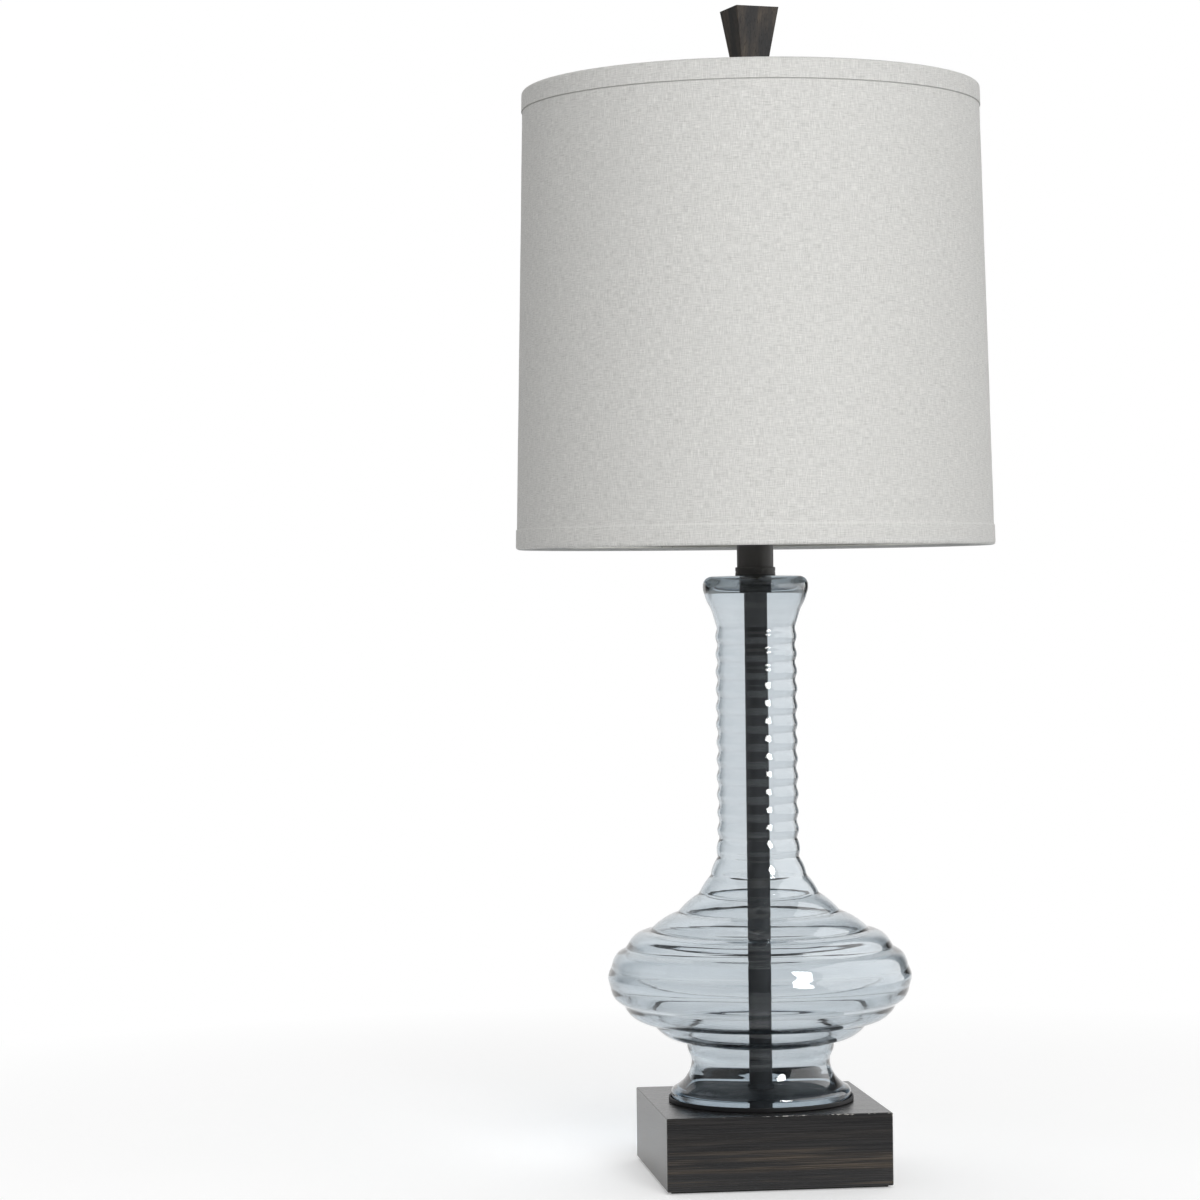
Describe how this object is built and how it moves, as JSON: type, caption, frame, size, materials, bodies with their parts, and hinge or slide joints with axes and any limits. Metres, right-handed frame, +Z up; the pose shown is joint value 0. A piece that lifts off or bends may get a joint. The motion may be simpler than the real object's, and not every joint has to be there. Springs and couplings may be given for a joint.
{
  "type": "table lamp",
  "caption": "Table lamp with a tall ribbed smoke-glass bottle body on a square dark wood plinth, a linen drum shade and a tapered wood finial.",
  "frame": {"origin": "middle of the felt pad's underside, on the lamp's vertical axis", "axes": "+Z up along the lamp's axis, -Y towards the plinth's front face, +X to the right seen from the front"},
  "size_m": [0.3334, 0.3334, 0.812],
  "materials": {
    "felt": "short black felt",
    "stained_wood": "espresso stained hardwood, satin, with faint brown grain",
    "black_plastic": "plain black",
    "zinc_steel": "zinc plated",
    "dark_metal": "satin dark bronze",
    "black_metal": "satin black",
    "gasket_rubber": "black",
    "smoke_glass": "clear, smoky blue-grey, blown in a ribbed mould",
    "brass_plate": "satin, lightly lacquered",
    "nickel_plate": "satin nickel",
    "insulating_paper": "dark vulcanised fibre",
    "phenolic": "black moulded phenolic",
    "frosted_glass": "white frosted",
    "linen": "plain woven grey-beige linen with slubs",
    "styrene": "translucent white sheet"
  },
  "bodies": {
    "lamp": {"felt_pad": "felt", "wood_base": "stained_wood", "cord_bushing": "black_plastic", "lamp_pipe": "zinc_steel", "recess_washer": "zinc_steel", "lock_washer": "zinc_steel", "hex_nut": "zinc_steel", "foot_tray": "black_metal", "foot_gasket": "gasket_rubber", "glass_body": "smoke_glass", "centre_tube": "dark_metal", "tube_foot_collar": "dark_metal", "mouth_plug": "black_plastic", "lip_gasket": "gasket_rubber", "neck_flange": "dark_metal", "neck_tube": "dark_metal", "neck_cap": "dark_metal", "harp_saddle": "nickel_plate", "saddle_nut": "zinc_steel", "holder_cap": "brass_plate", "holder_shell": "brass_plate", "holder_liner": "insulating_paper", "holder_core": "phenolic", "screw_shell": "brass_plate", "centre_contact": "brass_plate"},
    "key": {"switch_key": "phenolic"},
    "harp": {"harp": "nickel_plate", "harp_boss": "nickel_plate"},
    "ferrule_left": {"ferrule_left": "nickel_plate"},
    "ferrule_right": {"ferrule_right": "nickel_plate"},
    "shade": {"harp_stud": "nickel_plate", "shade_fabric": "linen", "shade_liner": "styrene", "shade_seam": "linen", "shade_ring_top": "zinc_steel", "shade_ring_bottom": "zinc_steel", "shade_trim_top": "linen", "shade_trim_bottom": "linen", "spider_hub": "nickel_plate", "spider_arms": "nickel_plate"},
    "finial_foot": {"finial_foot": "dark_metal"},
    "finial": {"finial_block": "stained_wood"},
    "bulb_contact": {"bulb_contact": "nickel_plate"},
    "bulb": {"bulb_cap": "nickel_plate", "bulb_glass": "frosted_glass"}
  },
  "joints": [
    {"name": "key_turn", "type": "hinge", "parent": "lamp", "child": "key", "pos_m": [0, -0.0225, 0.5212], "axis": [0, -1, 0], "continuous": true},
    {"name": "harp_lift", "type": "slide", "parent": "lamp", "child": "harp", "axis": [0, 0, 1], "range_m": [0, 0.03]},
    {"name": "ferrule_left_slide", "type": "slide", "parent": "harp", "child": "ferrule_left", "axis": [0, 0, 1], "range_m": [0, 0.016]},
    {"name": "ferrule_right_slide", "type": "slide", "parent": "harp", "child": "ferrule_right", "axis": [0, 0, 1], "range_m": [0, 0.016]},
    {"name": "shade_swivel", "type": "hinge", "parent": "harp", "child": "shade", "pos_m": [0, 0, 0.743], "axis": [0, 0, 1], "continuous": true},
    {"name": "finial_rise", "type": "slide", "parent": "shade", "child": "finial_foot", "axis": [0, 0, 1], "range_m": [0, 0.0076]},
    {"name": "finial_turn", "type": "hinge", "parent": "finial_foot", "child": "finial", "pos_m": [0, 0, 0.757], "axis": [0, 0, 1], "range_deg": [0, 2880]},
    {"name": "bulb_rise", "type": "slide", "parent": "lamp", "child": "bulb_contact", "axis": [0, 0, 1], "range_m": [0, 0.0183]},
    {"name": "bulb_turn", "type": "hinge", "parent": "bulb_contact", "child": "bulb", "pos_m": [0, 0, 0.545], "axis": [0, 0, 1], "range_deg": [0, 1800]}
  ],
  "couplings": [
    {"joint": "finial_rise", "follows": "finial_turn", "m_per_rad": 0.00014972},
    {"joint": "bulb_rise", "follows": "bulb_turn", "m_per_rad": 0.0005775}
  ]
}
